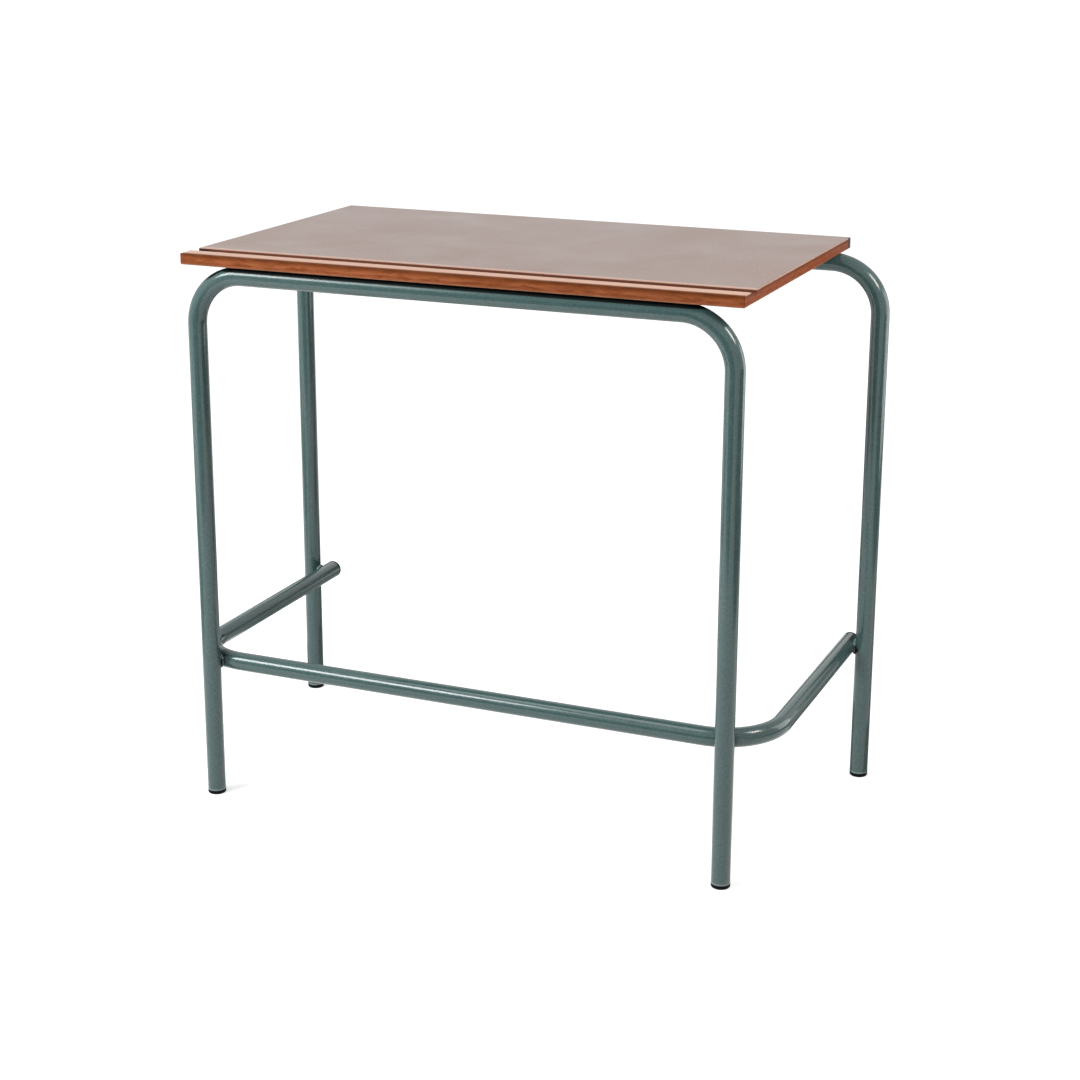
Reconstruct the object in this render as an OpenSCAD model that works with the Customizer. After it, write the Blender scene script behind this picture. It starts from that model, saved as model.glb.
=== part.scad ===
// School desk: a grooved worktop on two bent tube frames, tied by a bent foot rail.
// The pupil sits at the +Y side, where the wider frame stands and the foot rail is open.
// Origin: on the floor, under the middle of the worktop. +Z is up, millimetres.

/* [Worktop] */
// Height of the worktop's upper face above the floor
desk_h = 760; // [600:5:820]
// Length of the worktop, along X
board_w = 765; // [700:5:860]
// Depth of the worktop, along Y
board_d = 475; // [470:5:600]
// Thickness of the worktop
board_t = 15; // [12:1:25]
// Rounding of the worktop's long and short edges
edge_r = 1; // [0.4:0.1:2]
// Rounding of the worktop's four upright corners
corner_r = 1.5; // [0.5:0.5:4]

/* [Pencil groove] */
// Width of the flat ledge between the far edge and the groove
groove_ledge = 26; // [20:1:40]
// Width of the groove
groove_w = 20; // [12:1:28]
// Depth of the groove
groove_h = 7; // [4:0.5:9]
// Rounding at the foot of the groove's walls
groove_r = 3.5; // [1:0.5:4]

/* [Tube] */
// Outer diameter of the frame and foot rail tube
tube_d = 25; // [22:0.5:28]
// Wall of the frame and foot rail tube
tube_wall = 1.5; // [1:0.1:2.5]

/* [Frames] */
// How far each end of the worktop stands out past the front frame's leg
side_lip = 1; // [0.5:0.5:15]
// Distance between the rear frame's leg axes
rear_span = 878; // [860:2:960]
// Distance between the planes of the two frames
frame_gap = 415; // [360:5:420]
// Distance from the worktop's far edge to the front frame's plane
front_inset = 14.5; // [13:0.5:24]
// Bend radius of the frames, at the tube's axis
frame_r = 68; // [50:1:75]

/* [Foot rail] */
// Height of the foot rail's axis above the floor
rail_h = 192; // [120:2:260]
// How far the foot rail's ends pass the rear legs' axes
rail_tail = 22.5; // [16:0.5:60]
// Bend radius of the foot rail, at the tube's axis
rail_r = 80; // [60:1:110]

/* [Cross bars] */
// Side of the square cross bars
bar_size = 20; // [14:0.5:20.5]
// Rounding of the cross bars' long edges
bar_corner = 2; // [1:0.25:3]
// Wall of the cross bars
bar_wall = 1.5; // [1:0.1:2.5]
// Distance between the axes of the two cross bars
bar_spread = 350; // [200:10:400]

/* [Fixing tabs] */
// Distance between the outer tabs on one frame
tab_spread = 560; // [460:10:570]
// Width of a tab, along the rail
tab_w = 25; // [16:1:30]
// Thickness of a tab
tab_t = 2; // [1.5:0.5:3]
// Distance from a screw's axis to the tab's free end
tab_margin = 10; // [8:0.5:16]
// Rounding of the tab's free corners
tab_r = 5; // [2:0.5:7]
// Distance from the groove's inner wall to the front screws' axes
groove_to_screw = 6.5; // [5:0.5:12]

/* [Screws] */
// Outer diameter of the thread
screw_d = 4; // [3:0.5:5]
// Length under the head
screw_l = 13; // [8:0.5:13.5]
// Diameter of the pan head
head_d = 8; // [6.5:0.5:10]
// Height of the pan head
head_h = 2.6; // [2:0.2:4]
// Width of one arm of the cross recess
recess_w = 1; // [0.6:0.1:1.4]
// Length of one arm pair of the cross recess
recess_l = 4.4; // [3:0.2:5.6]
// Depth of the cross recess
recess_h = 1.4; // [0.8:0.1:1.8]

/* [Caps and plugs] */
// Height of a foot cap's flange, between the tube's end and the floor
cap_h = 4; // [3:0.5:12]
// Rounding of a foot cap's lower edge
cap_r = 2; // [1:0.25:2.5]
// Thickness of a foot rail plug's flange
plug_h = 3; // [2:0.5:8]
// Rounding of a foot rail plug's outer edge
plug_r = 1.5; // [0.5:0.25:1.75]
// Length of the stem inside the tube
stem_l = 18; // [12:1:30]
// Wall of the hollow stem
stem_wall = 1.8; // [1.2:0.1:3]
// Number of raised ribs round the stem
stem_ribs = 3; // [1:1:5]
// How far a rib stands out of the stem
rib_out = 0.8; // [0.4:0.1:1.2]
// Width of a rib at its root
rib_w = 2; // [1:0.25:2.5]

/* [Welds] */
// Distance from a crossing's contact point to the middle of its weld bead
ring_r = 8.6; // [7:0.2:9]
// Radius of a crossing's weld bead
ring_bead = 2.6; // [1.5:0.1:2.8]
// Throat of the weld beads on the cross bars and tabs
bead = 2.2; // [1.5:0.1:2.4]

/* [Clearances] */
// Gap between tubes that are welded together
weld_gap = 0.2; // [0.1:0.05:0.4]
// Gap round a stem's ribs inside the tube
stem_fit = 0.05; // [0.02:0.01:0.2]
// Gap round a screw in the worktop
pilot_fit = 0.05; // [0.02:0.01:0.2]
// Gap round a screw in its tab
screw_fit = 0.4; // [0.2:0.1:0.8]
// Gap left over a screw's tip in the worktop
tip_gap = 0.5; // [0.3:0.1:1]

/* [Hidden] */
$fn = 64;
// Steps round a circle where thin beads are cut to the tubes
fine_steps = 180;

// Cuts run past the faces that they open by this much
past = 1;
// Rounding left inside the cross bars where their wall is thicker than their corner
least_corner = 0.3;
tube_r = tube_d / 2;
bore_r = tube_r - tube_wall;
board_under = desk_h - board_t;
// Distance between the front frame's leg axes
front_span = board_w - 2 * side_lip - tube_d;
// Height of the frames' rails: the worktop rests on them
frame_z = board_under - tube_r;
bend_z = frame_z - frame_r;
front_y = front_inset - board_d / 2;
rear_y = front_y + frame_gap;

// The foot rail runs inside the rear legs and behind the front legs, touching all four
side_x = rear_span / 2 - tube_d - weld_gap;
arc_x = side_x - rail_r;
leg_past_arc = max(0, front_span / 2 - arc_x);
leg_to_arc = rail_r + tube_d + weld_gap;
arc_y = front_y + sqrt(leg_to_arc * leg_to_arc - leg_past_arc * leg_past_arc);
run_y = arc_y - rail_r;
rail_end_y = rear_y + rail_tail - plug_h;
// Direction from the foot rail's bend, or its front run, to the front leg
touch_angle = atan2(front_y - arc_y, leg_past_arc);

// The tabs start where the rail's side has fallen by a tab's thickness
tab_start = sqrt(tube_r * tube_r - pow(tube_r - tab_t, 2)) + weld_gap;
screw_reach = groove_ledge + groove_w + groove_to_screw - front_inset;
tab_end = screw_reach + tab_margin;
pilot_h = screw_l - tab_t + tip_gap;
tab_places = [-tab_spread / 2, 0, tab_spread / 2];
bar_bead = min(bead, tube_r - bar_size / 2 - weld_gap);

board_color = "peru";
paint_color = "slategray";
plastic_color = "black";
zinc_color = "silver";

// A rectangle about the origin with round corners
module round_rect(w, h, r) {
    square([w - 2 * r, h], center = true);
    square([w, h - 2 * r], center = true);
    for (x = [-1, 1], y = [-1, 1])
        translate([x * (w / 2 - r), y * (h / 2 - r)]) circle(r);
}

// The groove's outline: round at its foot, with a chamfered mouth on the line y = 0
module groove_outline() {
    translate([-groove_w / 2, -groove_h + groove_r]) square([groove_w, groove_h - groove_r + past]);
    translate([-groove_w / 2 + groove_r, -groove_h]) square([groove_w - 2 * groove_r, groove_h]);
    for (x = [-1, 1])
        translate([x * (groove_w / 2 - groove_r), -groove_h + groove_r]) circle(groove_r);
    foot = groove_w / 2;
    mouth = foot + edge_r;
    polygon([[-foot, -edge_r], [foot, -edge_r], [mouth, 0], [mouth, past], [-mouth, past], [-mouth, 0]]);
}

module board_blank() {
    intersection() {
        rotate([90, 0, 90]) linear_extrude(board_w, center = true) round_rect(board_d, board_t, edge_r);
        rotate([90, 0, 0]) linear_extrude(board_d, center = true) round_rect(board_w, board_t, edge_r);
        linear_extrude(board_t, center = true) round_rect(board_w, board_d, corner_r);
    }
}

module top_board() {
    groove_y = -board_d / 2 + groove_ledge + groove_w / 2;
    color(board_color) difference() {
        translate([0, 0, desk_h - board_t / 2]) board_blank();
        translate([0, groove_y, desk_h]) rotate([90, 0, 90])
            linear_extrude(board_w + 2 * past, center = true) groove_outline();
        board_holes(front_y, 1);
        board_holes(rear_y, -1);
    }
}

// The blind holes in the worktop's underside over one frame's tabs
module board_holes(y, side) {
    for (x = tab_places)
        translate([x, y + side * screw_reach, board_under - past])
            cylinder(r = screw_d / 2 + pilot_fit, h = pilot_h + past);
}

// A frame's solid shape: two legs, two bends and the rail that joins them
module frame_shape(span, r, below) {
    for (side = [-1, 1]) {
        translate([side * span / 2, 0, cap_h - below]) cylinder(r = r, h = bend_z - cap_h + below);
        translate([side * (span / 2 - frame_r), 0, bend_z]) rotate([90, side < 0 ? -180 : 0, 0])
            mirror([0, side < 0 ? 1 : 0, 0]) rotate_extrude(angle = 90) translate([frame_r, 0]) circle(r);
    }
    translate([0, 0, frame_z]) rotate([0, 90, 0]) cylinder(r = r, h = span - 2 * frame_r, center = true);
}

module bent_frame(y, span) {
    color(paint_color) translate([0, y, 0]) difference() {
        frame_shape(span, tube_r, 0);
        frame_shape(span, bore_r, past);
    }
}

module front_frame() { bent_frame(front_y, front_span); }
module rear_frame() { bent_frame(rear_y, rear_span); }

// The foot rail's solid shape: a front run, two bends and two side runs
module foot_rail_shape(r, beyond) {
    side_l = rail_end_y - arc_y + beyond;
    for (side = [-1, 1]) {
        translate([side * side_x, arc_y, rail_h]) rotate([-90, 0, 0]) cylinder(r = r, h = side_l);
        translate([side * arc_x, arc_y, rail_h]) rotate([0, 0, side < 0 ? 180 : -90])
            rotate_extrude(angle = 90) translate([rail_r, 0]) circle(r);
    }
    translate([0, run_y, rail_h]) rotate([0, 90, 0]) cylinder(r = r, h = 2 * arc_x, center = true);
}

module foot_rail() {
    color(paint_color) difference() {
        foot_rail_shape(tube_r, 0);
        foot_rail_shape(bore_r, past);
    }
}

// One frame's rail as a plain bar, to fit other pieces to it
module rail_bar(y, r) {
    translate([0, y, frame_z]) rotate([0, 90, 0]) cylinder(r = r, h = rear_span, center = true);
}

// A square bar from one frame's rail axis to the other's, larger all round by grow
module bar_shape(x, grow) {
    side = bar_size + 2 * grow;
    translate([x, rear_y, frame_z]) rotate([90, 0, 0])
        linear_extrude(frame_gap) round_rect(side, side, max(bar_corner + grow, least_corner));
}

module cross_bar(x) {
    color(paint_color) difference() {
        bar_shape(x, 0);
        bar_shape(x, -bar_wall);
        rail_bar(front_y, tube_r + weld_gap);
        rail_bar(rear_y, tube_r + weld_gap);
    }
}

module left_cross_bar() { cross_bar(-bar_spread / 2); }
module right_cross_bar() { cross_bar(bar_spread / 2); }

// The two beads that close the saddle cuts of one cross bar
module cross_bar_welds(x) {
    $fn = fine_steps;
    color(paint_color) for (y = [front_y, rear_y]) difference() {
        intersection() {
            bar_shape(x, bar_bead);
            rail_bar(y, tube_r + bar_bead);
        }
        bar_shape(x, 0);
        rail_bar(y, tube_r);
    }
}

module left_cross_bar_welds() { cross_bar_welds(-bar_spread / 2); }
module right_cross_bar_welds() { cross_bar_welds(bar_spread / 2); }

// One flat tab from the rail towards +Y, with its free corners round and a hole for its screw
module tab() {
    difference() {
        union() {
            translate([-tab_w / 2, tab_start, -tab_t]) cube([tab_w, tab_end - tab_r - tab_start, tab_t]);
            translate([tab_r - tab_w / 2, tab_start, -tab_t])
                cube([tab_w - 2 * tab_r, tab_end - tab_start, tab_t]);
            for (x = [-1, 1])
                translate([x * (tab_w / 2 - tab_r), tab_end - tab_r, -tab_t]) cylinder(r = tab_r, h = tab_t);
        }
        translate([0, screw_reach, -tab_t - past])
            cylinder(r = screw_d / 2 + screw_fit, h = tab_t + 2 * past);
    }
}

// Places its child over each tab of one frame: side is 1 towards +Y, -1 towards -Y
module at_tabs(y, side) {
    for (x = tab_places)
        translate([x, y, board_under]) rotate([0, 0, side > 0 ? 0 : 180]) children();
}

module front_fixing_tabs() { color(paint_color) at_tabs(front_y, 1) tab(); }
module rear_fixing_tabs() { color(paint_color) at_tabs(rear_y, -1) tab(); }

// The bead in the corner between a tab's underside and the rail's side
module tab_weld() {
    $fn = fine_steps;
    difference() {
        translate([0, tab_start, -tab_t]) rotate([0, 90, 0])
            cylinder(r = bead, h = tab_w - 2 * bead, center = true);
        translate([-tab_w / 2, 0, -tab_t]) cube([tab_w, tab_end, tube_r]);
        translate([0, 0, -tube_r]) rotate([0, 90, 0]) cylinder(r = tube_r, h = tab_w, center = true);
    }
}

module front_tab_welds() { color(paint_color) at_tabs(front_y, 1) tab_weld(); }
module rear_tab_welds() { color(paint_color) at_tabs(rear_y, -1) tab_weld(); }

// A pan head screw that points up, with its head's flat side on the plane z = -tab_t
module board_screw() {
    tip_l = screw_d / 2;
    dome_r = (head_d * head_d / 4 + head_h * head_h) / (2 * head_h);
    translate([0, screw_reach, -tab_t]) {
        cylinder(r = screw_d / 2, h = screw_l - tip_l);
        translate([0, 0, screw_l - tip_l]) cylinder(r1 = screw_d / 2, r2 = screw_d / 8, h = tip_l);
        difference() {
            intersection() {
                translate([0, 0, dome_r - head_h]) sphere(dome_r);
                translate([0, 0, -head_h]) cylinder(r = head_d / 2, h = head_h);
            }
            for (turn = [0, 90]) rotate([0, 0, turn])
                translate([0, 0, -head_h]) cube([recess_l, recess_w, 2 * recess_h], center = true);
        }
    }
}

module front_board_screws() { color(zinc_color) at_tabs(front_y, 1) board_screw(); }
module rear_board_screws() { color(zinc_color) at_tabs(rear_y, -1) board_screw(); }

// A plastic insert standing on z = 0: a flange of height h, then a hollow ribbed stem for the tube
module insert(h, r) {
    steps = 8;
    rib_tip = bore_r - stem_fit;
    stem_r = rib_tip - rib_out;
    pitch = stem_l / (stem_ribs + 0.5);
    edge = [for (i = [0:steps]) [tube_r - r + r * sin(i * 90 / steps), r - r * cos(i * 90 / steps)]];
    ribs = [for (i = [1:stem_ribs], p = [[0, -rib_w / 2], [rib_out, 0], [0, rib_w / 2]])
        [stem_r + p[0], h + i * pitch - rib_w / 2 + p[1]]];
    rotate_extrude() polygon(concat(
        [[0, 0]], edge, [[tube_r, h], [stem_r, h]], ribs,
        [[stem_r, h + stem_l], [stem_r - stem_wall, h + stem_l], [stem_r - stem_wall, h], [0, h]]));
}

module foot_cap(x, y) {
    color(plastic_color) translate([x, y, 0]) insert(cap_h, cap_r);
}

module front_left_foot_cap() { foot_cap(-front_span / 2, front_y); }
module front_right_foot_cap() { foot_cap(front_span / 2, front_y); }
module rear_left_foot_cap() { foot_cap(-rear_span / 2, rear_y); }
module rear_right_foot_cap() { foot_cap(rear_span / 2, rear_y); }

module rail_plug(x) {
    color(plastic_color) translate([x, rail_end_y + plug_h, rail_h]) rotate([90, 0, 0]) insert(plug_h, plug_r);
}

module left_rail_plug() { rail_plug(-side_x); }
module right_rail_plug() { rail_plug(side_x); }

// A ring of weld round the contact point of the foot rail and the leg at [x, y]
module rail_weld(x, y, angle) {
    $fn = fine_steps;
    color(paint_color) difference() {
        translate([x, y, rail_h]) rotate([0, 0, angle]) translate([-tube_r - weld_gap / 2, 0, 0])
            rotate([0, 90, 0]) rotate_extrude() translate([ring_r, 0]) circle(ring_bead);
        translate([x, y, rail_h - tube_d]) cylinder(r = tube_r, h = 2 * tube_d);
        foot_rail_shape(tube_r, 0);
    }
}

module front_left_rail_weld() { rail_weld(-front_span / 2, front_y, 180 - touch_angle); }
module front_right_rail_weld() { rail_weld(front_span / 2, front_y, touch_angle); }
module rear_left_rail_weld() { rail_weld(-rear_span / 2, rear_y, 180); }
module rear_right_rail_weld() { rail_weld(rear_span / 2, rear_y, 0); }

top_board();
front_frame();
rear_frame();
foot_rail();
left_cross_bar();
right_cross_bar();
front_fixing_tabs();
rear_fixing_tabs();
front_board_screws();
rear_board_screws();
front_left_foot_cap();
front_right_foot_cap();
rear_left_foot_cap();
rear_right_foot_cap();
left_rail_plug();
right_rail_plug();
front_left_rail_weld();
front_right_rail_weld();
rear_left_rail_weld();
rear_right_rail_weld();
left_cross_bar_welds();
right_cross_bar_welds();
front_tab_welds();
rear_tab_welds();
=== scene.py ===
import math

import bmesh
import bpy
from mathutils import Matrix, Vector


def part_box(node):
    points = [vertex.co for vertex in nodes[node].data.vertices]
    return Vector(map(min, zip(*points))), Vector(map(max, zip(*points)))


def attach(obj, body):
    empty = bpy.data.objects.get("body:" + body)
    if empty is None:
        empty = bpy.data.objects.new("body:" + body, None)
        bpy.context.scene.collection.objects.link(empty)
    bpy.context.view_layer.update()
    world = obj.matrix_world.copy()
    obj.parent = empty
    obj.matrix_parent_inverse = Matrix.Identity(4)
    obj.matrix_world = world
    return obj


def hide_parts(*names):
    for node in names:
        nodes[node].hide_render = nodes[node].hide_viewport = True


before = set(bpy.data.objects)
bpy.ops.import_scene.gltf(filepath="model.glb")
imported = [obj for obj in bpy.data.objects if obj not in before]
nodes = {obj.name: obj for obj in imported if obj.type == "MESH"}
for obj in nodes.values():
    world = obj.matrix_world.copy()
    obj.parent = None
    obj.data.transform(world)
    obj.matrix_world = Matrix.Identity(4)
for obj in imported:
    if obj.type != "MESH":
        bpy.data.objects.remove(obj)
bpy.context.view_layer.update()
mm = 0.001  # the desk's sizes below are in millimetres, the scene and the studio are in metres
print("frame loaded,", len(nodes), "nodes")

viewpoint = {
    "aim": (-1.5, -16.15, 415.75),  # the point that the lens axis goes through
    "azimuth": 23.451,
    "elevation": 15.986,
    "distance": 2884.85,
    "frame": 1080,  # pixels along a side of the photo
    "focal": 2112.54,  # focal length, in those pixels
    "axis": (517.0, 497.09),  # pixel that the lens axis goes through
    "sensor": 36.0,
    "farthest": 200,  # metres, how far the camera sees
}


def direction(azimuth, elevation):  # azimuth 0 points at -Y, 90 at +X
    a, e = math.radians(azimuth), math.radians(elevation)
    return Vector((math.sin(a) * math.cos(e), -math.cos(a) * math.cos(e), math.sin(e)))


def placeCamera(v):
    lens = bpy.data.cameras.new("camera")
    lens.sensor_width = v["sensor"]
    lens.lens = v["focal"] / v["frame"] * v["sensor"]
    lens.shift_x = 0.5 - v["axis"][0] / v["frame"]
    lens.shift_y = v["axis"][1] / v["frame"] - 0.5
    lens.clip_end = v["farthest"]
    camera = bpy.data.objects.new("camera", lens)
    back = direction(v["azimuth"], v["elevation"])
    camera.location = (Vector(v["aim"]) + back * v["distance"]) * mm
    camera.rotation_euler = (-back).to_track_quat("-Z", "Y").to_euler()
    bpy.context.scene.collection.objects.link(camera)
    bpy.context.scene.camera = camera


placeCamera(viewpoint)
print("camera placed")


class Wire:  # one output socket; sums and products of wires add their own nodes
    def __init__(self, socket):
        self.socket = socket

    def combine(self, operation, other, flipped=False):
        tree = self.socket.id_data
        if self.socket.type == "RGBA":
            made = tree.nodes.new("ShaderNodeMix")
            made.data_type, made.blend_type = "RGBA", operation
            made.inputs[0].default_value = 1
            first, second, result = made.inputs[6], made.inputs[7], made.outputs[2]
        else:
            wide = self.socket.type == "VECTOR"
            made = tree.nodes.new("ShaderNodeVectorMath" if wide else "ShaderNodeMath")
            made.operation = operation
            first, second, result = made.inputs[0], made.inputs[1], made.outputs[0]
        if flipped:
            first, second = second, first
        feed(first, self)
        feed(second, other)
        return Wire(result)

    def __add__(self, other):
        return self.combine("ADD", other)

    def __radd__(self, other):
        return self.combine("ADD", other, True)

    def __sub__(self, other):
        return self.combine("SUBTRACT", other)

    def __rsub__(self, other):
        return self.combine("SUBTRACT", other, True)

    def __mul__(self, other):
        return self.combine("MULTIPLY", other)

    def __rmul__(self, other):
        return self.combine("MULTIPLY", other, True)

    def __truediv__(self, other):
        return self.combine("DIVIDE", other)

    def __rtruediv__(self, other):
        return self.combine("DIVIDE", other, True)


def feed(socket, value):
    if isinstance(value, Wire):
        socket.id_data.links.new(value.socket, socket)
    elif socket.type == "RGBA":
        shade = (value,) * 3 if isinstance(value, (int, float)) else value
        socket.default_value = (*shade[:3], 1)
    elif socket.type == "VECTOR" and isinstance(value, (int, float)):
        socket.default_value = (value,) * 3
    else:
        socket.default_value = value


def setStops(ramp, stops):
    while len(ramp.elements) > 1:
        ramp.elements.remove(ramp.elements[-1])
    for number, (position, shade) in enumerate(stops):
        stop = ramp.elements[0] if number == 0 else ramp.elements.new(position)
        stop.position = position
        stop.color = (*shade, 1)


class Finish:  # one node tree; add() makes any node in it
    def __init__(self, owner):
        owner.use_nodes = True
        self.owner, self.tree = owner, owner.node_tree
        self.tree.nodes.clear()

    def add(self, kind, settings, sockets, out=0):
        made = self.tree.nodes.new("ShaderNode" + kind)
        for key, value in settings.items():
            if key == "stops":
                setStops(made.color_ramp, value)
            else:
                setattr(made, key, value)
        for key, value in sockets.items():
            feed(made.inputs[key], value)
        return Wire(made.outputs[out]) if made.outputs else made

    def place(self):  # the surface point in the part's own frame, in metres
        return self.add("TexCoord", {}, {}, "Object")

    def noise(self, where, scale, detail=2.0, distortion=0.0):
        sockets = {"Vector": where, "Scale": scale, "Detail": detail, "Distortion": distortion}
        return self.add("TexNoise", {}, sockets)

    def ramp(self, value, low, high, start=0.0, end=1.0):  # a smooth step
        sockets = {"Value": value, "From Min": low, "From Max": high, "To Min": start, "To Max": end}
        return self.add("MapRange", {"interpolation_type": "SMOOTHSTEP"}, sockets)

    def mix(self, factor, first, second):
        return self.add("Mix", {"data_type": "RGBA"}, {0: factor, 6: first, 7: second}, 2)

    def fade(self, value, edge, reach, start=0.0, end=1.0):  # a smooth step near an edge, its reach in mm
        return self.ramp(value, edge + reach[0] * mm, edge + reach[1] * mm, start, end)

    def coordinates(self, where):
        return [self.add("SeparateXYZ", {}, {0: where}, axis) for axis in "XYZ"]

    def greatest(self, first, *others):
        for other in others:
            first = self.add("Math", {"operation": "MAXIMUM"}, {0: first, 1: other})
        return first

    def bump(self, height, distance, strength=1.0):
        sockets = {"Strength": strength, "Distance": distance, "Height": height}
        return self.add("Bump", {}, sockets)

    def principled(self, sockets):
        return self.finish(self.add("BsdfPrincipled", {}, sockets))

    def finish(self, shader):
        self.add("OutputMaterial", {}, {"Surface": shader})
        return self.owner


def newFinish(name):
    return Finish(bpy.data.materials.new(name))


tubing = {
    "wall": 1.5,
    "lip": 0.7,  # rounding at the cut ends
    "frameBend": 68.0,  # bend radius at the axis
    "railBend": 80.0,
    "round": 72,  # points round the tube
    "bendSteps": 30,
    "lipSteps": 4,
}

hammer = {  # glossy hammertone enamel on the tubes; in mm, most pairs say where a fade starts and ends
    "shade": (0.067, 0.124, 0.121),
    "flake": (0.105, 0.172, 0.169),
    "hollow": (0.052, 0.102, 0.100),
    "rim": (0.190, 0.250, 0.250),  # paler band round the legs' lower ends, a painted highlight
    "blackShadeAndLines": (0.006, 0.008, 0.008),  # near black: painted shade under the worktop, over the front left bend and in the crevices, and dark lines round the caps and plugs
    "patches": ((0.93, 0.93, 0.93), (1.07, 1.07, 1.07)),  # how much the slow patches darken and lighten
    "cell": 3.2,  # width of one hammered cell
    "warp": 8.0,  # width of the bends in the pattern of cells
    "grain": 0.7,
    "patch": 28.0,
    "dimple": 0.02,  # depth of a cell
    "cellEdge": (0.28, 0.72),  # where a cell goes over from its hollow to its raised rim
    "sparkle": (0.66, 0.86),  # how rare the pale flakes are
    "sparkleShare": 0.5,
    "coat": {"IOR": 1.5},
    "matt": {"Roughness": 0.45, "IOR": 1.15},  # where it is rubbed
    "dull": {"Roughness": 0.6, "IOR": 1.1},  # matt, where the near black draws the cap and plug lines and the painted crevice shade
    "gloss": (0.12, 0.18),  # lowest and highest roughness
    "contact": (-7.0, -5.6),  # painted shade on the rails, down from the worktop's underside
    "contactEnds": (-60.0, -20.0),  # where it ends, from the worktop's ends
    "bend": {  # the same painted shade over the top of the front frame's left bend
        "width": (4.6, 2.4),  # at its lower and at its upper end
        "taper": (-45.0, -15.0),  # along X, from the bend's centre
        "blur": (-0.5, 0.5),
        "start": (-12.0, -1.0),  # up, from the rail's axis
        "end": (-16.0, -6.0),  # along X, from the bend's centre
        "back": (2.0, 5.0),  # behind the rail's axis
    },
    "rimTop": (3.7, 5.1),  # up from the legs' ends
    "rimShare": 0.8,
    "rimWaver": 0.8,
    "capLine": (1.3, 1.9),  # up from the legs' ends
    "plugLine": (-1.8, -1.2),  # from the foot rail's ends
    "crevices": {"front": (7.0, 21.0), "rear": (9.0, 14.0)},  # reach of the painted shade round the foot rail's contacts
    "creviceShare": 0.95,
    "frontCrevice": (-1.0, 0.5),  # it starts behind the contact
    "rearCrevice": (-1.0, 2.0),  # it lies below the contact
    "worn": {  # the front frame's rail, rubbed duller towards the right
        "along": (-460.0, 150.0),
        "share": (0.15, 1.0),
        "above": (2.2, 3.6),  # up from the rail's axis
        "depth": (10.0, 20.0),  # behind the frame
    },
}


# painted shade on the rails just under the worktop, ending short of its ends
def shadeUnderBoard(f, x, z, h):
    low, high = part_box("top_board")
    reach = f.add("Math", {"operation": "ABSOLUTE"}, {0: x})
    return f.fade(z, low.z, h["contact"]) * f.fade(reach, high.x, h["contactEnds"], 1.0, 0.0)


# painted shadow over the top of the front frame's left bend, where the worktop shades it
def shadowOverBend(f, place, b, t):
    x, y, z = f.coordinates(place)
    low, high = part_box("front_frame")
    radius, bend = (high.y - low.y) / 2, t["frameBend"] * mm
    axis = high.z - radius  # height of the rail's axis
    centre = (low.x + radius + bend, 0, axis - bend)
    away = f.add("VectorMath", {"operation": "LENGTH"}, {0: (place - centre) * (1, 0, 1)}, "Value")
    width = f.fade(x, centre[0], b["taper"], b["width"][0] * mm, b["width"][1] * mm)
    dark = f.fade(away + width, bend + radius, b["blur"])
    dark = dark * f.fade(z, axis, b["start"]) * f.fade(x, centre[0], b["end"], 1.0, 0.0)
    return dark * f.fade(y, high.y - radius, b["back"], 1.0, 0.0)


def shadeInCrevices(f, place, y, z, h):  # painted shade round the foot rail's welds
    shadows = []
    for row, reach in h["crevices"].items():
        for hand in ("left", "right"):
            low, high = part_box(row + "_" + hand + "_rail_weld")
            middle = (low + high) / 2
            apart = f.add("VectorMath", {"operation": "DISTANCE"}, {0: place, 1: middle}, "Value")
            if row == "front":
                side = f.fade(y, middle.y, h["frontCrevice"])
            else:
                side = f.fade(z, middle.z, h["rearCrevice"], 1.0, 0.0)
            shadows.append(f.fade(apart, 0, reach, h["creviceShare"], 0.0) * side)
    return f.greatest(*shadows)


def wornRail(f, x, y, z, w):
    low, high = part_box("front_frame")
    axis = high.z - (high.y - low.y) / 2
    worn = f.fade(x, 0, w["along"], *w["share"]) * f.fade(z, axis, w["above"])
    return worn * f.fade(y, high.y, w["depth"], 1.0, 0.0)


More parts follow.
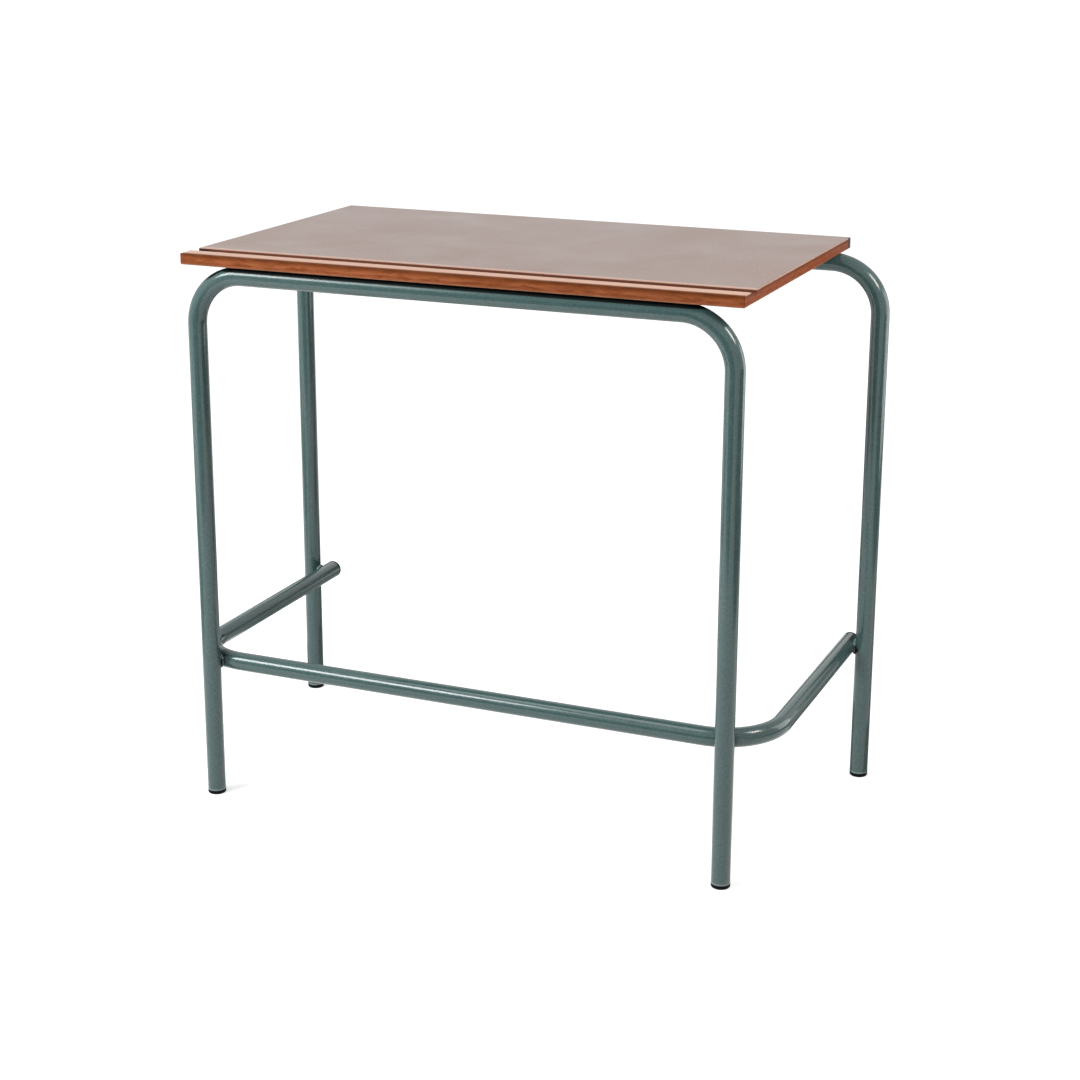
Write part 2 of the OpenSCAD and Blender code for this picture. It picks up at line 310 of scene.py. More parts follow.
def hammerEnamel(h, t):
    f = newFinish("hammerEnamel")
    place = f.place()
    x, y, z = f.coordinates(place)
    warp = f.noise(place, 1 / (h["warp"] * mm), 1.0)
    cells = f.add("TexVoronoi", {"feature": "SMOOTH_F1"}, {
        "Vector": place, "Scale": 1 / (h["cell"] * mm), "Smoothness": 0.45, "Randomness": 1.0})
    grain = f.noise(place, 1 / (h["grain"] * mm), 2.0)
    patch = f.noise(place, 1 / (h["patch"] * mm), 2.0)
    raised = f.ramp(cells + warp * 0.25, *h["cellEdge"])
    sparkle = f.ramp(grain + warp * 0.3, *h["sparkle"])
    colour = f.mix(raised, h["shade"], h["hollow"])
    colour = f.mix(sparkle * h["sparkleShare"], colour, h["flake"])
    colour = colour * f.mix(patch, *h["patches"])

    bendShadow = shadowOverBend(f, place, h["bend"], t)
    # near black painted shade under the worktop and over the front left bend
    colour = f.mix(f.greatest(shadeUnderBoard(f, x, z, h), bendShadow), colour, h["blackShadeAndLines"])
    foot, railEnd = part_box("front_frame")[0].z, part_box("foot_rail")[1].y
    # painted highlight: a paler band just above the caps
    rim = f.fade(z + grain * (h["rimWaver"] * mm), foot, h["rimTop"], h["rimShare"], 0.0)
    colour = f.mix(rim, colour, h["rim"])
    capLine = f.fade(z, foot, h["capLine"], 1.0, 0.0)
    # near black lines round the caps and plugs, and painted shade in the crevices
    linesAndCreviceShade = f.greatest(capLine, f.fade(y, railEnd, h["plugLine"]), shadeInCrevices(f, place, y, z, h))
    worn = f.greatest(wornRail(f, x, y, z, h["worn"]), bendShadow)

    rough = f.ramp(patch + warp * 0.4, 0.4, 0.9, *h["gloss"])
    relief = f.bump(raised * -1.0 + grain * 0.08, h["dimple"] * mm, 0.6)
    painted = {"Base Color": colour, "Normal": relief}
    coat = f.add("BsdfPrincipled", {}, {**painted, **h["coat"], "Roughness": rough})
    matt = f.add("BsdfPrincipled", {}, {**painted, **h["matt"]})
    dull = f.add("BsdfPrincipled", {}, {**h["dull"], "Base Color": h["blackShadeAndLines"]})
    coat = f.add("MixShader", {}, {0: worn, 1: coat, 2: matt})
    return f.finish(f.add("MixShader", {}, {0: linesAndCreviceShade, 1: coat, 2: dull}))


boardFinish = {  # brown film on top, stained and lacquered fibre at every cut edge, black film below
    "film": (0.175, 0.078, 0.046),
    "backing": (0.020, 0.017, 0.015),
    "paleFibreSheen": (0.635, 0.390, 0.290),  # ledge and outer top edges: paler than the fibre, a painted sheen
    "mouth": (0.440, 0.235, 0.160),  # paler film along the groove, a painted highlight on its lip
    "groove": (0.145, 0.057, 0.036),
    "grooveStart": (0.040, 0.022, 0.024),  # at the groove's left mouth
    "rear": (0.045, 0.024, 0.016),  # painted shade at the rear ends of the cut faces
    # greyer painted shade and painted dark reflection at the very rear and on the rear face
    "rearEdge": (0.095, 0.088, 0.078),
    "ends": (1.00, 0.78, 0.50),  # the left and right edges are redder
    "layers": [  # fibre from the underside up
        (0.00, (0.375, 0.180, 0.112)), (0.10, (0.330, 0.114, 0.052)), (0.26, (0.262, 0.070, 0.024)),
        (0.50, (0.310, 0.094, 0.035)), (0.66, (0.262, 0.072, 0.024)), (0.82, (0.165, 0.045, 0.014)),
        (0.92, (0.140, 0.036, 0.009))],
    "streaks": ((0.76, 0.70, 0.62), (1.18, 1.24, 1.36)),  # how much the streaks darken and lighten
    "clouds": ((0.86, 0.86, 0.86), (1.14, 1.14, 1.14)),  # the same for the clouds in the film
    "streak": 3.6,  # height of the streaks on the edges, mm
    "streakEdge": (0.5, 0.9),  # where a dark streak goes over into a pale one
    "thread": 0.9,
    "drawnOut": (0.16, 0.16, 1),  # the mats of fibre lie flat, so their pattern is drawn out sideways
    "waver": 0.22,  # how far the layers wander, as a share of the board's thickness
    "fleck": 1.6,
    "cloud": 9.0,  # clouds per metre
    "relief": 0.02,
    "gloss": (0.22, 0.30),  # lowest and highest roughness of the film
    "grooveEndShare": 0.8,  # how much of the groove's stain is left at its right end
    "rearShare": 0.9,  # how much of the fibre the painted rear shade hides
    "cut": {"Roughness": 0.36, "IOR": 1.12},  # the edges take up the lacquer and shine less than the film
    "fades": {  # where each fade starts and ends, in mm from the place that is named
        "nearWall": (-6.0, -2.0),  # along Y, from the groove's far wall
        "farWall": (0.3, 1.0),
        "grooveTop": (-1.0, -0.4),  # up, from the top
        "grooveFloor": (-1.2, -0.4),  # up, from the groove's floor
        "grooveEnd": (-12.0, -2.0),  # along X, from the right end
        "grooveStart": (8.0, 35.0),  # along X, from the left end
        "endFace": (-0.8, -0.3),  # outwards, from both ends
        "rubbedTop": (-1.6, -0.8),  # up, from the top
        "rubbedDepth": (2.0, 8.0),  # along Y, from the grooved edge
        "rear": (-15.0, -13.0),  # along Y, from the pupil's edge
        "rearEdge": (-9.0, -8.0),
        "mouth": (4.0, 9.0),  # along Y, from the end of the groove's rounding
        "lipTop": (-0.8, -0.4),  # up, from the top
        "lipFront": (0.1, 0.5),  # along Y, from the groove's far wall
        "lipBack": (4.0, 6.0),  # along Y, from the end of the groove's rounding
        "filmTop": (-0.35, -0.10),  # up, from the top
        "filmFront": (-0.4, 0.0),  # along Y, from the end of the groove's rounding
        "under": (0.1, 0.3),  # up, from the underside
    },
}


def insideGroove(f, x, y, z, far, b, w, high):
    d = b["fades"]
    outside = f.fade(y, far, d["nearWall"], 1.0, 0.0) + f.fade(y, far, d["farWall"])
    inside = (1 - outside) * f.fade(z, high.z, d["grooveTop"], 1.0, 0.0)
    inside = inside * f.fade(z, high.z - w["grooveDepth"] * mm, d["grooveFloor"])
    return inside * f.fade(x, high.x, d["grooveEnd"], 1.0, b["grooveEndShare"])


def filmOnTop(f, y, z, far, grooveEnd, d, top):  # the brown film bends down over the groove's lip
    lip = f.fade(z, top, d["lipTop"]) * f.fade(y, far, d["lipFront"])
    lip = lip * f.fade(y, grooveEnd, d["lipBack"], 1.0, 0.0)
    return f.greatest(lip, f.fade(z, top, d["filmTop"]) * f.fade(y, grooveEnd, d["filmFront"]))


def stainedFibre(f, x, y, z, streak, thread, inGroove, b, low, high):
    d = b["fades"]
    level = (z - low.z) / (high.z - low.z) + (streak - 0.5) * b["waver"]
    fibre = f.add("ValToRGB", {"stops": b["layers"]}, {"Fac": level})
    fibre = fibre * f.mix(f.ramp(streak + thread * 0.4, *b["streakEdge"]), *b["streaks"])
    reach = f.add("Math", {"operation": "ABSOLUTE"}, {0: x})
    fibre = fibre * f.mix(f.fade(reach, high.x, d["endFace"]), (1, 1, 1), b["ends"])
    # painted sheen: paler fibre on the ledge and the outer top edges
    paleFibreSheen = f.fade(z, high.z, d["rubbedTop"]) * f.fade(y, low.y, d["rubbedDepth"])
    fibre = f.mix(paleFibreSheen, fibre, b["paleFibreSheen"])
    # painted shade towards the rear ends of the cut faces
    for shadeBand in ("rear", "rearEdge"):
        fibre = f.mix(f.fade(y, high.y, d[shadeBand], 0.0, b["rearShare"]), fibre, b[shadeBand])
    stain = f.mix(f.fade(x, low.x, d["grooveStart"], 1.0, 0.0), b["groove"], b["grooveStart"])
    return f.mix(inGroove, fibre, stain)


def lacqueredBoard(b, w, low, high):
    f = newFinish("lacqueredBoard")
    place = f.place()
    x, y, z = f.coordinates(place)
    far = low.y + (w["ledge"] + w["groove"]) * mm
    grooveEnd = far + w["lip"] * mm
    sideways = place * b["drawnOut"]
    streak = f.noise(sideways, 1 / (b["streak"] * mm), 3.0, 0.5)
    thread = f.noise(sideways, 1 / (b["thread"] * mm), 2.0)
    cloud = f.noise(place, b["cloud"], 3.0, 0.4)
    fleck = f.noise(place, 1 / (b["fleck"] * mm), 2.0)
    inGroove = insideGroove(f, x, y, z, far, b, w, high)
    fibre = stainedFibre(f, x, y, z, streak, thread, inGroove, b, low, high)
    film = f.mix(cloud * 0.5 + fleck * 0.5, *b["clouds"]) * b["film"]
    # painted highlight: paler film along the groove's lip
    film = f.mix(f.fade(y, grooveEnd, b["fades"]["mouth"], 1.0, 0.0), film, b["mouth"])
    onUnder = f.fade(z, low.z, b["fades"]["under"], 1.0, 0.0)
    covered = f.greatest(filmOnTop(f, y, z, far, grooveEnd, b["fades"], high.z), onUnder)
    rough = f.ramp(cloud + fleck * 0.4, 0.4, 1.0, *b["gloss"])
    smooth = f.bump(fleck * 0.4 + cloud * 0.6, b["relief"] * mm, 0.5)
    coarse = f.bump(fleck * 0.4 + thread * 1.5, b["relief"] * mm, 0.5)
    sheet = f.add("BsdfPrincipled", {}, {
        "Base Color": f.mix(onUnder, film, b["backing"]), "Roughness": rough, "IOR": 1.5, "Normal": smooth})
    cut = f.add("BsdfPrincipled", {}, {**b["cut"], "Base Color": fibre, "Normal": coarse})
    return f.finish(f.add("MixShader", {}, {0: covered, 1: cut, 2: sheet}))


plastic = {
    "shade": (0.0035, 0.0035, 0.004),
    "scuffed": (0.010, 0.010, 0.011),
    "grain": 0.6,
    "relief": 0.03,
    "scuff": 220.0,  # scuffs per metre
    "gloss": (0.40, 0.55),
}


def blackPlastic(p):
    f = newFinish("blackPlastic")
    place = f.place()
    grain = f.noise(place, 1 / (p["grain"] * mm), 2.0)
    scuff = f.noise(place, p["scuff"], 3.0, 0.8)
    return f.principled({
        "Base Color": f.mix(f.ramp(scuff, 0.5, 0.8) * 0.5, p["shade"], p["scuffed"]),
        "Roughness": f.ramp(scuff, 0.3, 0.8, *p["gloss"]), "IOR": 1.15,
        "Normal": f.bump(grain, p["relief"] * mm, 0.6)})


zinc = {
    "shade": (0.60, 0.60, 0.58),
    "yellowed": (0.72, 0.70, 0.62),
    "cloud": 2.0,  # mm
    "relief": 0.02,
    "gloss": (0.25, 0.45),
}


def zincPlate(s):
    f = newFinish("zincPlate")
    cloud = f.noise(f.place(), 1 / (s["cloud"] * mm), 3.0, 0.5)
    return f.principled({
        "Base Color": f.mix(cloud, s["shade"], s["yellowed"]), "Metallic": 1.0,
        "Roughness": f.ramp(cloud, 0.3, 0.8, *s["gloss"]),
        "Normal": f.bump(cloud, s["relief"] * mm, 0.4)})


seam = {  # paint on the rail's welds: lighter on the upper side, a painted highlight, and near black below, painted shade
    # thick is the lighter upper side, the painted highlight
    "thick": (0.200, 0.290, 0.300),
    "flake": (0.105, 0.172, 0.169),
    "thin": (0.010, 0.014, 0.014),
    "run": 1.3,  # width of the runs in the paint, mm
    "waver": 2.0,
    "relief": 0.1,
    "upper": (4.5, 6.5),  # up from the welds' middle, mm
    "gloss": (0.16, 0.30),
}


def seamEnamel(s):
    f = newFinish("seamEnamel")
    place = f.place()
    low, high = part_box("front_left_rail_weld")
    runs = f.noise(place, 1 / (s["run"] * mm), 2.0)
    height = f.coordinates(place)[2] + runs * (s["waver"] * mm)
    # painted highlight above the welds' middle, painted shade below it
    upper = f.fade(height, (low.z + high.z) / 2, s["upper"])
    return f.principled({
        "Base Color": f.mix(upper, s["thin"], f.mix(runs, s["thick"], s["flake"])),
        "Roughness": f.ramp(runs, 0.3, 0.8, *s["gloss"]), "IOR": 1.5,
        "Normal": f.bump(runs, s["relief"] * mm, 0.6)})


enamel = hammerEnamel(hammer, tubing)
seamPaint = seamEnamel(seam)
capPlastic = blackPlastic(plastic)
screwZinc = zincPlate(zinc)
print("finishes made")


def smoothMesh(name, bm):
    bmesh.ops.recalc_face_normals(bm, faces=bm.faces)
    mesh = bpy.data.meshes.new(name)
    for face in bm.faces:
        face.smooth = True
    bm.to_mesh(mesh)
    bm.free()
    piece = bpy.data.objects.new(name, mesh)
    bpy.context.scene.collection.objects.link(piece)
    return piece


def stitch(bm, rings, closedRow=False):  # a closed row also joins its last ring to its first
    count = len(rings[0])
    rows = list(zip(rings, rings[1:])) + ([(rings[-1], rings[0])] if closedRow else [])
    for lower, upper in rows:
        for i in range(count):
            j = (i + 1) % count
            bm.faces.new((lower[i], lower[j], upper[j], upper[i]))


def evenShading(piece):  # flat faces keep flat shading beside their roundings
    shading = piece.modifiers.new("evenShading", "WEIGHTED_NORMAL")
    shading.weight = 100
    return piece


def dress(piece, finish, cadNode):
    piece.data.materials.append(finish)
    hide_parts(cadNode)
    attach(piece, "root")
    return piece


def bentPath(half, reach, bend, steps):
    # up one arm, round two bends and down the other arm, as pairs of place and heading
    path = [(Vector((-half, 0)), Vector((0, 1)))]
    turns = [math.pi / 2 * k / steps for k in range(steps + 1)]
    for a in turns:
        s, c = math.sin(a), math.cos(a)
        path.append((Vector((bend - half - bend * c, reach - bend + bend * s)), Vector((s, c))))
    for a in turns:
        s, c = math.sin(a), math.cos(a)
        path.append((Vector((half - bend + bend * s, reach - bend + bend * c)), Vector((c, -s))))
    path.append((Vector((half, 0)), Vector((0, -1))))
    return path


def bentTube(name, start, across, along, path, radius, t):
    lip, bore = t["lip"] * mm, radius - t["wall"] * mm
    spread = across.cross(along)
    bm = bmesh.new()

    def ring(place, heading, size, forward=0.0):
        flat = place + heading * forward
        centre = start + across * flat.x + along * flat.y
        side = across * heading.y - along * heading.x
        turns = [2 * math.pi * k / t["round"] for k in range(t["round"])]
        return [bm.verts.new(centre + size * (side * math.cos(a) + spread * math.sin(a))) for a in turns]

    def lipRings(place, heading, inward):
        quarter = [math.pi / 2 * k / t["lipSteps"] for k in range(t["lipSteps"] + 1)]
        return [ring(place, heading, radius - lip + lip * math.sin(a), inward * lip * (1 - math.cos(a)))
                for a in quarter]

    rings = lipRings(*path[0], 1)
    rings += [ring(*step, radius) for step in path[1:-1]]
    rings += lipRings(*path[-1], -1)[::-1]
    rings += [ring(*step, bore) for step in path[::-1]]
    stitch(bm, rings, closedRow=True)
    return smoothMesh(name, bm)


def makeFrame(name, cadNode, t):
    low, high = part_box(cadNode)
    radius = (high.y - low.y) / 2
    half, reach = (high.x - low.x) / 2 - radius, high.z - low.z - radius
    path = bentPath(half, reach, t["frameBend"] * mm, t["bendSteps"])
    start = Vector(((low.x + high.x) / 2, (low.y + high.y) / 2, low.z))
    piece = bentTube(name, start, Vector((1, 0, 0)), Vector((0, 0, 1)), path, radius, t)
    return dress(piece, enamel, cadNode)


def makeFootRail(name, cadNode, t):
    low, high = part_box(cadNode)
    radius = (high.z - low.z) / 2
    half, reach = (high.x - low.x) / 2 - radius, high.y - low.y - radius
    path = bentPath(half, reach, t["railBend"] * mm, t["bendSteps"])
    start = Vector(((low.x + high.x) / 2, high.y, (low.z + high.z) / 2))
    piece = bentTube(name, start, Vector((1, 0, 0)), Vector((0, -1, 0)), path, radius, t)
    return dress(piece, enamel, cadNode)


makeFrame("frontTube", "front_frame", tubing)
makeFrame("rearTube", "rear_frame", tubing)
makeFootRail("footTube", "foot_rail", tubing)
print("tubes bent")

worktop = {
    "edge": 1.5,  # rounding of every outer edge
    "lip": 1.6,  # rounding of the groove's far mouth
    "ledge": 26.0,
    "groove": 20.0,
    "grooveDepth": 7.0,
    "grooveFoot": 3.5,
    "crown": 0.3,  # how far the ledge falls towards its outer edge
    "arcSteps": 5,
    "flatSteps": 8,  # along the ledge and along the top
    "stations": 16,
    "fan": 0.01,  # how far the points of the underside are drawn towards an even spacing
    "endInset": 0.96,  # how far the ends are rounded inwards, as a share of the edge's rounding
}


def arc(centre, radius, first, last, steps):  # angles in degrees, from +Y towards +Z
    turns = [math.radians(first + (last - first) * k / steps) for k in range(steps + 1)]
    return [Vector((centre[0] + radius * math.cos(a), centre[1] + radius * math.sin(a))) for a in turns]


def boardChains(low, high, w):
    # the section's upper and lower outlines in the YZ plane, with as many points in each
    r, n, flat = w["edge"] * mm, w["arcSteps"], w["flatSteps"]
    top, under = high.z, low.z
    near = low.y + w["ledge"] * mm
    far = near + w["groove"] * mm
    foot, deep = w["grooveFoot"] * mm, w["grooveDepth"] * mm
    crown, lip = w["crown"] * mm, w["lip"] * mm
    upper = arc((low.y + r, top - crown - r), r, 180, 90, n)
    for share in [k / flat for k in range(1, flat)]:
        y = low.y + r + (near - low.y - 2 * r) * share
        upper.append(Vector((y, top - crown * (1 - share) ** 2)))
    upper += arc((near - r, top - r), r, 90, 0, n)
    upper += arc((near + foot, top - deep + foot), foot, 180, 270, n)
    upper += arc((far - foot, top - deep + foot), foot, 270, 360, n)
    upper += arc((far + lip, top - lip), lip, 180, 90, n)
    upper += [Vector((far + lip + (high.y - far - lip - r) * k / flat, top)) for k in range(1, flat)]
    upper += arc((high.y - r, top - r), r, 90, 0, n)
    lower = arc((low.y + r, under + r), r, 180, 270, n)
    middle = upper[n + 1:-n - 1]
    for k, point in enumerate(middle, 1):  # below the upper points, the groove's walls a little fanned out
        even = low.y + r + (high.y - low.y - 2 * r) * k / (len(middle) + 1)
        lower.append(Vector(((1 - w["fan"]) * point.x + w["fan"] * even, under)))
    lower += arc((high.y - r, under + r), r, 270, 360, n)
    return upper, lower


def inset(loop, depth):
    moved = []
    for k, point in enumerate(loop):
        along = (loop[(k + 1) % len(loop)] - loop[k - 1]).normalized()
        moved.append(point + Vector((along.y, -along.x)) * depth)
    return moved


def makeWorktop(name, cadNode, w):
    low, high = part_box(cadNode)
    upper, lower = boardChains(low, high, w)
    loop = upper + lower[::-1]
    r, n = w["edge"] * mm, w["arcSteps"]
    stations = []
    for k in range(n + 1):
        a = math.pi / 2 * k / n
        stations.append((low.x + r * (1 - math.cos(a)), w["endInset"] * r * (1 - math.sin(a))))
    for k in range(1, w["stations"]):
        stations.append((low.x + r + (high.x - low.x - 2 * r) * k / w["stations"], 0.0))
    stations += [(low.x + high.x - x, depth) for x, depth in stations[n::-1]]
    bm = bmesh.new()
    rings = [[bm.verts.new((x, p.x, p.y)) for p in inset(loop, depth)] for x, depth in stations]
    stitch(bm, rings)
    half = len(upper)
    for ring in (rings[0], rings[-1]):
        for k in range(half - 1):
            bm.faces.new((ring[k], ring[k + 1], ring[-k - 2], ring[-k - 1]))
    piece = evenShading(smoothMesh(name, bm))
    return dress(piece, lacqueredBoard(boardFinish, w, low, high), cadNode)


makeWorktop("worktop", "top_board", worktop)
print("worktop made")

insert = {
    "stemWall": 1.8,
    "ribs": 3,
    "ribOut": 0.8,
    "ribWidth": 2.0,
    "slack": 0.05,  # gap round the ribs in the tube
    "shoulder": 0.35,  # rounding where the flange meets the tube
    "ringRadius": 6.5,  # moulded ring in the outer face
    "ringDepth": 0.4,
    "ringWidth": 1.2,
    "ringFlat": 0.6,  # the share of it that is flat
    "round": 64,
    "roundingSteps": 8,
    "shoulderSteps": 3,
    "cap": (4.0, 2.0),  # thickness and rounding of a foot cap's flange
    "plug": (3.0, 1.5),  # the same of a rail plug's
}


def insertProfile(radius, flange, length, rounding, i, t):
    # radius and height pairs, from the middle of the outer face to the middle of the stem's floor
    bore = radius - t["wall"] * mm
    tip = bore - i["slack"] * mm
    stem = tip - i["ribOut"] * mm
    hollow = stem - i["stemWall"] * mm
    ring, wide, deep = i["ringRadius"] * mm, i["ringWidth"] * mm, i["ringDepth"] * mm
    level = i["ringFlat"] * wide
    outline = [(0, 0), (ring - wide, 0), (ring - level, deep), (ring + level, deep), (ring + wide, 0)]
    outline += [tuple(p) for p in arc((radius - rounding, rounding), rounding, -90, 0, i["roundingSteps"])]
    s = i["shoulder"] * mm
    outline += [tuple(p) for p in arc((radius - s, flange - s), s, 0, 90, i["shoulderSteps"])]
    outline.append((stem, flange))
    pitch = (length - flange) / (i["ribs"] + 0.5)
    half = i["ribWidth"] * mm / 2
    for k in range(1, i["ribs"] + 1):
        z = flange + k * pitch - half
        outline += [(stem, z - half), (tip, z), (stem, z + half)]
    return outline + [(stem, length), (hollow, length), (hollow, flange), (0, flange)]


def lathe(name, outline, base, axis, side, count):
    other = axis.cross(side)
    bm = bmesh.new()
    turns = [2 * math.pi * k / count for k in range(count)]
    rings = [[bm.verts.new(base + axis * z + r * (side * math.cos(a) + other * math.sin(a))) for a in turns]
             for r, z in outline[1:-1]]
    stitch(bm, rings)
    for (r, z), ring in ((outline[0], rings[0]), (outline[-1], rings[-1])):
        pole = bm.verts.new(base + axis * z)
        for k in range(count):
            bm.faces.new((pole, ring[k], ring[(k + 1) % count]))
    return evenShading(smoothMesh(name, bm))


def makeInsert(name, cadNode, axis, flange, i, t):
    low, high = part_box(cadNode)
    centre, size = (low + high) / 2, high - low
    length = abs(size.dot(axis))
    thick, rounding = flange[0] * mm, flange[1] * mm
    outline = insertProfile(size.x / 2, thick, length, rounding, i, t)
    piece = lathe(name, outline, centre - axis * length / 2, axis, Vector((1, 0, 0)), i["round"])
    return dress(piece, capPlastic, cadNode)


def cornerName(corner):
    row, hand = corner.split("_")
    return row + hand.title()


corners = ("front_left", "front_right", "rear_left", "rear_right")
for corner in corners:
    name, inwards = cornerName(corner) + "Cap", Vector((0, 0, 1))
    makeInsert(name, corner + "_foot_cap", inwards, insert["cap"], insert, tubing)
for hand in ("left", "right"):
    name, inwards = hand + "RailPlug", Vector((0, -1, 0))
    makeInsert(name, hand + "_rail_plug", inwards, insert["plug"], insert, tubing)
print("caps and plugs made")

weld = {
    "ring": 8.6,  # from the contact point to the middle of the bead
    "bead": 2.6,
    "ripple": 0.09,  # depth of the ripples, as a share of the bead
    "ripples": 17,
    "uneven": 1.5,  # how unevenly they are spaced
    "steps": 136,
    "round": 20,
}


def makeRailWeld(name, cadNode, legCap, w):
    low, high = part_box(cadNode)
    capLow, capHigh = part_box(legCap)
    centre = (low + high) / 2
    leg = (capLow + capHigh) / 2
    axis = Vector((centre.x - leg.x, centre.y - leg.y, 0)).normalized()
    up = Vector((0, 0, 1))
    side = up.cross(axis)
    bm = bmesh.new()
    rings = []
    for k in range(w["steps"]):
        a = 2 * math.pi * k / w["steps"]
        outward = side * math.cos(a) + up * math.sin(a)
        phase = math.cos(a * w["ripples"] + w["uneven"] * math.sin(a * 2))
        size = w["bead"] * mm * (1 - w["ripple"] * (1 - phase) / 2)
        middle = centre + outward * w["ring"] * mm
        turns = [2 * math.pi * j / w["round"] for j in range(w["round"])]
        around = [size * (outward * math.cos(b) + axis * math.sin(b)) for b in turns]
        rings.append([bm.verts.new(middle + step) for step in around])
    stitch(bm, rings, closedRow=True)
    return dress(smoothMesh(name, bm), seamPaint, cadNode)


for corner in corners:
    makeRailWeld(cornerName(corner) + "Weld", corner + "_rail_weld", corner + "_foot_cap", weld)
print("rail welds made")

carriedOver = {  # the CAD's own meshes, with the finish of each
    enamel: ("left_cross_bar", "right_cross_bar", "front_fixing_tabs", "rear_fixing_tabs",
             "left_cross_bar_welds", "right_cross_bar_welds", "front_tab_welds", "rear_tab_welds"),
    screwZinc: ("front_board_screws", "rear_board_screws"),
}


def refinish(cadNode, finish):
    slots = nodes[cadNode].material_slots
    for slot in slots:
        slot.material = finish
    if not slots:
        nodes[cadNode].data.materials.append(finish)


for finish, names in carriedOver.items():
    for cadNode in names:
        refinish(cadNode, finish)
print("construction under the worktop finished")

studio = {
    "floor": (0.82, 0.82, 0.82),
    "floorGrain": (0.84, 0.84, 0.84),
    "floorScale": 60.0,  # grains per metre
    "floorSize": 40,
    "matt": 0.9,  # roughness of the floor, the mats and the screens
    "glow": (0.43, 0.98),  # what the floor adds near and far where the camera or a reflection sees it
    "spread": 1.2,  # metres, how fast the lamps' light on the floor fades and the glow takes over
    "fill": 0.275,  # strength of the plain light from all round
    "lampAim": (0, 0, 0.45),
    "lamps": {  # azimuth and elevation seen from the aim, distance and size in metres
        "key": {"at": (-39.5, 31), "distance": 3.0, "size": (1.55, 0.80), "radiance": 14.5,
                "tint": (0.97, 1, 1)},
        "overhead": {"at": (-40, 66), "distance": 2.4, "size": (1.20, 0.90), "radiance": 2.3,
                     "tint": (1, 1, 1)},
        "rightLamp": {"at": (84, 37), "distance": 1.58, "size": (0.40, 0.42), "radiance": 13.0,
                      "tint": (1, 0.96, 0.89)},
    },
    "panelGrain": 1.2,  # how much lighter than its grey value a mat or screen is in places
    "panelScale": 8.0,
    "matHeight": 0.004,
    "mats": {  # grey value and corners on the floor, in metres
        "leftMat": (0.10, [(-0.45, 0.70), (-0.95, 0.60), (-4.6, 6.4), (-0.9, 6.4), (-0.38, 1.6)]),
        "leftInnerMat": (0.35, [(-0.60, 0.18), (-0.55, 0.70), (-0.36, 0.95), (-0.24, 0.72), (-0.24, 0.18)]),
        "leftArmMat": (0.60, [(-0.24, 0.30), (-0.24, 0.72), (-0.36, 0.95), (0.0, 1.05), (0.15, 1.05),
                              (0.10, 0.60), (-0.05, 0.40)]),
        "rightInnerMat": (0.20, [(0.22, 0.18), (0.27, 0.70), (0.46, 0.95), (0.58, 0.72), (0.58, 0.18)]),
        "rightArmMat": (0.50, [(0.58, 0.30), (0.58, 0.72), (0.46, 0.95), (0.60, 1.15), (0.75, 1.30),
                               (1.15, 1.30), (0.95, 0.60), (0.75, 0.36)]),
        "middleMat": (0.55, [(0.15, 1.05), (0.9, 2.9), (2.0, 6.4), (3.2, 6.4), (1.9, 3.0), (0.75, 1.30)]),
        "rightMat": (0.10, [(3.2, 6.4), (7.0, 6.4), (7.0, -1.3), (1.7, -1.3), (1.18, -0.4), (1.18, 0.6),
                            (1.35, 1.7), (1.95, 2.9)]),
        "frontMat": (0.10, [(-0.5, -1.25), (-1.4, -1.75), (-2.8, -5.5), (1.9, -5.5), (0.78, -1.92),
                            (0.5, -1.25)]),
        "sideMat": (0.25, [(-0.80, -0.20), (-0.85, -0.85), (-1.6, -1.0), (-1.7, 0.1)]),
        "farSideMat": (0.35, [(-1.7, -0.28), (-2.9, -0.28), (-2.9, 0.5), (-1.7, 0.5)]),
    },
    "card": (0.8, 1.20, (0.25, 1.40), (0.22, 1.00), 2.8),  # grey value, X, along Y, heights, radiance
    "screens": {  # grey value, left end, right end, place along Y and height, in metres
        "leftScreen": (0.10, -14.0, -6.0, 6.4, 3.0),
        "backScreen": (0.10, -6.0, 0.2, 6.4, 0.8),
        "rightScreen": (0.10, 0.2, 1.9, 6.4, 2.2),
        "farRightScreen": (0.75, 1.9, 7.0, 6.4, 1.6),
        "frontScreen": (0.10, -4.5, 1.9, -5.5, 1.6),
    },
}


def seenAsWhite(f):  # 1 for the camera, reflections and glass, 0 for the light that falls on things
    kinds = ("Is Camera Ray", "Is Glossy Ray", "Is Transmission Ray")
    rays = [f.add("LightPath", {}, {}, kind) for kind in kinds]
    return rays[0] + rays[1] + rays[2]


def makeFloor(s):
    bm = bmesh.new()
    bmesh.ops.create_grid(bm, x_segments=8, y_segments=8, size=s["floorSize"])
    floor = smoothMesh("floor", bm)
    f = newFinish("paleFloor")
    place = f.place()
    grain = f.noise(place, s["floorScale"], 2.0)
    away = f.add("VectorMath", {"operation": "LENGTH"}, {0: place}, "Value")
    glow = f.mix(away / (away + s["spread"]), *[(value,) * 3 for value in s["glow"]])
    f.principled({
        "Base Color": f.mix(grain, s["floor"], s["floorGrain"]), "Roughness": s["matt"],
        "Emission Color": glow, "Emission Strength": seenAsWhite(f)})
    floor.data.materials.append(f.owner)


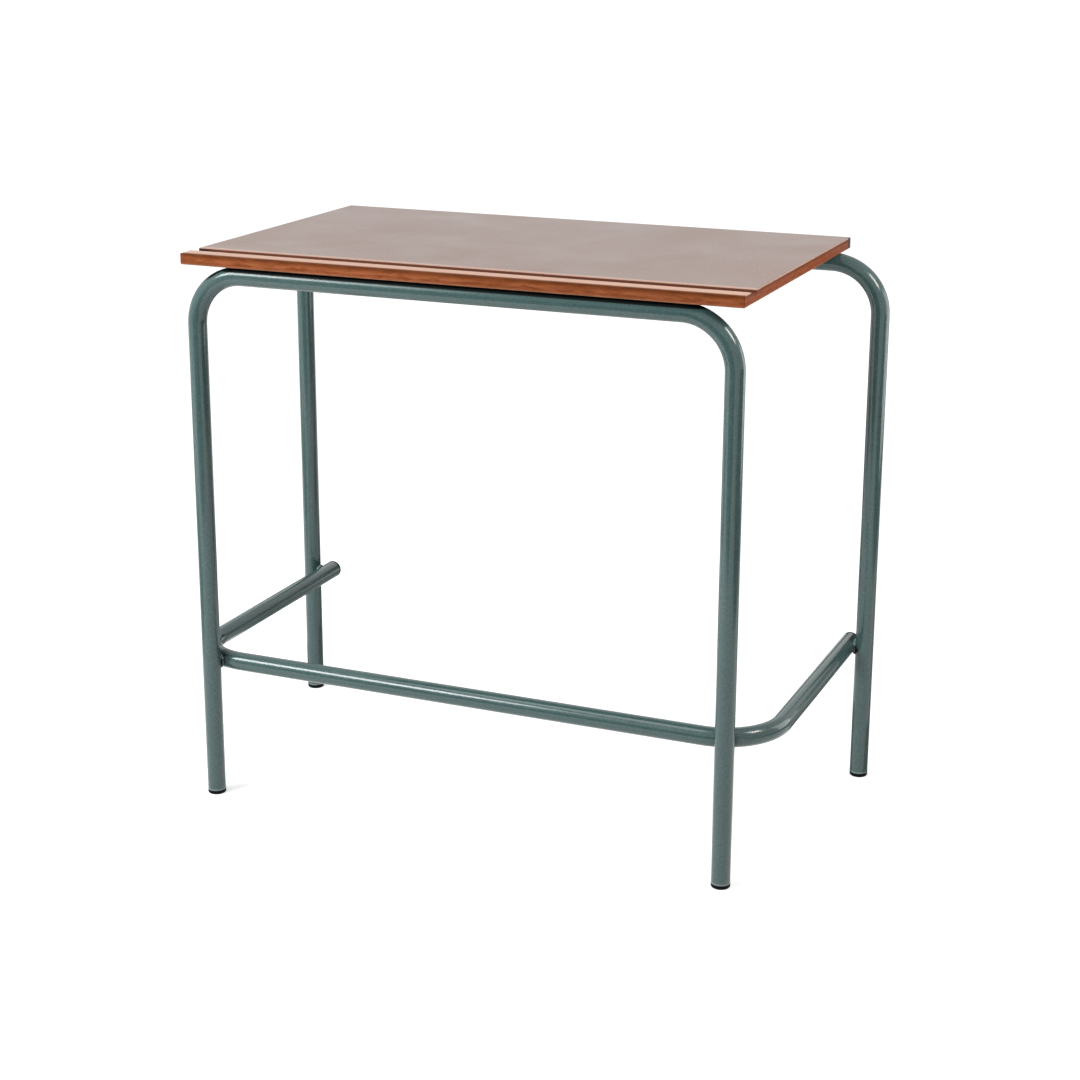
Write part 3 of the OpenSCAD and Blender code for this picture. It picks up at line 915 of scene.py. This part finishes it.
def addPanel(name, s, shade, corners, radiance=0.0):  # only reflections show it
    f = newFinish(name + "Paint")
    grain = f.noise(f.place(), s["panelScale"], 2.0)
    f.principled({
        "Base Color": f.mix(grain, (shade,) * 3, (shade * s["panelGrain"],) * 3), "Roughness": s["matt"],
        "Emission Color": (1, 1, 1), "Emission Strength": radiance})
    bm = bmesh.new()
    bm.faces.new([bm.verts.new(corner) for corner in corners])
    panel = smoothMesh(name, bm)
    panel.data.materials.append(f.owner)
    panel.visible_camera = panel.visible_diffuse = panel.visible_shadow = panel.visible_transmission = False


def makePanels(s):  # mats, screens and a card that give the tubes their dark and pale bands
    for name, (shade, corners) in s["mats"].items():
        addPanel(name, s, shade, [(x, y, s["matHeight"]) for x, y in corners])
    for name, (shade, left, right, y, height) in s["screens"].items():
        addPanel(name, s, shade, [(left, y, 0), (right, y, 0), (right, y, height), (left, y, height)])
    shade, x, (near, far), (low, high), radiance = s["card"]
    addPanel("card", s, shade, [(x, near, low), (x, far, low), (x, far, high), (x, near, high)], radiance)


def makeWorld(s):
    world = bpy.data.worlds.new("paleRoom")
    bpy.context.scene.world = world
    f = Finish(world)
    strength = seenAsWhite(f) * (1 - s["fill"]) + s["fill"]
    backdrop = f.add("Background", {}, {"Color": (1, 1, 1), "Strength": strength})
    f.add("OutputWorld", {}, {"Surface": backdrop})


def makeLamp(name, lamp, aim):
    light = bpy.data.lights.new(name, "AREA")
    light.shape = "RECTANGLE"
    light.size, light.size_y = lamp["size"]
    light.energy = lamp["radiance"] * light.size * light.size_y * 4  # Cycles takes a quarter of it
    light.color = lamp["tint"]
    holder = bpy.data.objects.new(name, light)
    towards = direction(*lamp["at"])
    holder.location = Vector(aim) + towards * lamp["distance"]
    holder.rotation_euler = towards.to_track_quat("Z", "Y").to_euler()
    holder.visible_camera = False
    bpy.context.scene.collection.objects.link(holder)


makeFloor(studio)
makePanels(studio)
makeWorld(studio)
for name, lamp in studio["lamps"].items():
    makeLamp(name, lamp, studio["lampAim"])
bpy.context.scene.view_settings.view_transform = "Standard"
print("studio lit")
